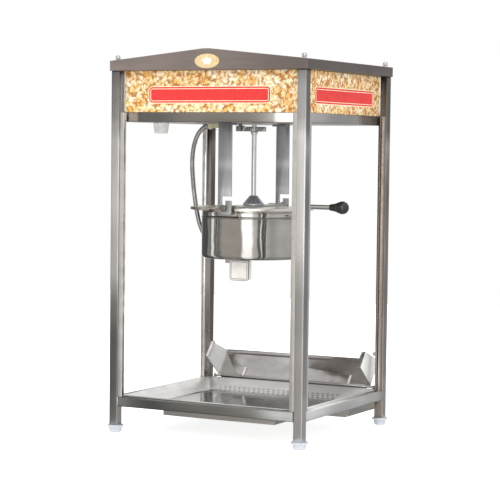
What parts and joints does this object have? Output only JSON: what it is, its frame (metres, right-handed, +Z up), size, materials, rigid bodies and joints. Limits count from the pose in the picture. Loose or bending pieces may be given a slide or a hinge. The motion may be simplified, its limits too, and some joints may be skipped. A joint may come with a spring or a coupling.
{
  "type": "popcorn cart",
  "caption": "Tabletop popcorn cart: a square-tube cabinet with a gabled canopy, a tilting kettle with a geared agitator, a dished floor, a kernel drawer and a serving chute.",
  "frame": {"origin": "the point on the floor under the middle of the object's box", "axes": "+Z up; the customer side with the long sign faces -Y, the serving chute is at +Y, the kettle's handle and its pouring side are at +X"},
  "size_m": [0.464, 0.4546, 0.796],
  "materials": {
    "brushed_steel": "satin, brushed along each tube",
    "polished_steel": "polished stainless, mirror-like",
    "glazing_channel": "bright extruded",
    "white_nylon": "moulded",
    "sign_print": "printed panel under clear gloss",
    "black_plastic": "moulded gloss",
    "black_phenolic": "polished phenolic",
    "white_ceramic": "glazed",
    "cast_housing": "cast, painted",
    "motor_paint": "satin black",
    "wiring_box": "moulded",
    "cable_conduit": "spiral metal conduit",
    "gear_steel": "machined, oiled"
  },
  "bodies": {
    "cart": {"post_front_left": "brushed_steel", "post_front_right": "brushed_steel", "post_back_left": "brushed_steel", "post_back_right": "brushed_steel", "foot_front_left": "white_nylon", "foot_front_right": "white_nylon", "foot_back_left": "white_nylon", "foot_back_right": "white_nylon", "dome_nut_front_left": "polished_steel", "dome_nut_front_right": "polished_steel", "dome_nut_back_left": "polished_steel", "dome_nut_back_right": "polished_steel", "rail_front": "brushed_steel", "rail_back": "brushed_steel", "rail_left": "brushed_steel", "rail_right": "brushed_steel", "beam_front": "brushed_steel", "beam_back": "brushed_steel", "beam_left": "brushed_steel", "beam_right": "brushed_steel", "channel_front_left": "glazing_channel", "channel_front_right": "glazing_channel", "channel_left_front": "glazing_channel", "channel_left_back": "glazing_channel", "channel_right_front": "glazing_channel", "channel_right_back": "glazing_channel", "roof_cover": "brushed_steel", "sign_front": "sign_print", "sign_left": "sign_print", "sign_right": "sign_print", "service_panel": "brushed_steel", "power_inlet": "black_plastic", "canopy_floor": "brushed_steel", "lamp_holder": "white_ceramic", "motor_gearbox": "cast_housing", "agitator_motor": "motor_paint", "hanger_front": "brushed_steel", "hanger_back": "brushed_steel", "wiring_box": "wiring_box", "kettle_cable": "cable_conduit", "floor_pan": "polished_steel", "floor_heater_box": "brushed_steel"},
    "kettle": {"kettle_shell": "polished_steel", "cooking_pan": "polished_steel", "kettle_bridge": "polished_steel", "tilt_handle": "polished_steel", "handle_knob": "black_phenolic", "terminal_box": "white_ceramic", "shaft_cone": "polished_steel"},
    "lid_left": {"lid_left": "polished_steel"},
    "lid_right": {"lid_right": "polished_steel"},
    "agitator": {"agitator_shaft": "polished_steel", "agitator_blades": "brushed_steel", "drive_gear": "gear_steel"},
    "pinion": {"drive_pinion": "gear_steel"},
    "chute": {"chute": "polished_steel"},
    "drawer": {"kernel_drawer": "brushed_steel"},
    "heat_switch": {"heat_switch": "black_plastic"},
    "motor_switch": {"motor_switch": "black_plastic"},
    "light_switch": {"light_switch": "black_plastic"}
  },
  "joints": [
    {"name": "kettle_tilt", "type": "hinge", "parent": "cart", "child": "kettle", "pos_m": [0.002, -0.01428, 0.473], "axis": [0, 1, 0], "range_deg": [0, 95], "deforming": ["kettle_cable"]},
    {"name": "left_lid_hinge", "type": "hinge", "parent": "kettle", "child": "lid_left", "pos_m": [-0.0212, -0.01428, 0.4713], "axis": [0, 1, 0], "range_deg": [0, 88]},
    {"name": "right_lid_hinge", "type": "hinge", "parent": "kettle", "child": "lid_right", "pos_m": [0.0252, -0.01428, 0.4713], "axis": [0, -1, 0], "range_deg": [0, 88]},
    {"name": "agitator_spin", "type": "hinge", "parent": "kettle", "child": "agitator", "pos_m": [0.002, -0.01428, 0.637], "axis": [0, 0, 1], "continuous": true},
    {"name": "pinion_spin", "type": "hinge", "parent": "cart", "child": "pinion", "pos_m": [-0.0314, -0.01428, 0.637], "axis": [0, 0, 1], "continuous": true},
    {"name": "chute_hinge", "type": "hinge", "parent": "cart", "child": "chute", "pos_m": [0, 0.18522, 0.0805], "axis": [1, 0, 0], "range_deg": [0, 38]},
    {"name": "drawer_slide", "type": "slide", "parent": "cart", "child": "drawer", "axis": [1, 0, 0], "range_m": [0, 0.3]},
    {"name": "heat_switch_rock", "type": "hinge", "parent": "cart", "child": "heat_switch", "pos_m": [-0.06, 0.18372, 0.712], "axis": [1, 0, 0], "range_deg": [0, 14]},
    {"name": "motor_switch_rock", "type": "hinge", "parent": "cart", "child": "motor_switch", "pos_m": [-0.02, 0.18372, 0.712], "axis": [1, 0, 0], "range_deg": [0, 14]},
    {"name": "light_switch_rock", "type": "hinge", "parent": "cart", "child": "light_switch", "pos_m": [0.02, 0.18372, 0.712], "axis": [1, 0, 0], "range_deg": [0, 14]}
  ],
  "couplings": [
    {"joint": "pinion_spin", "follows": "agitator_spin", "ratio": -2.6667}
  ]
}
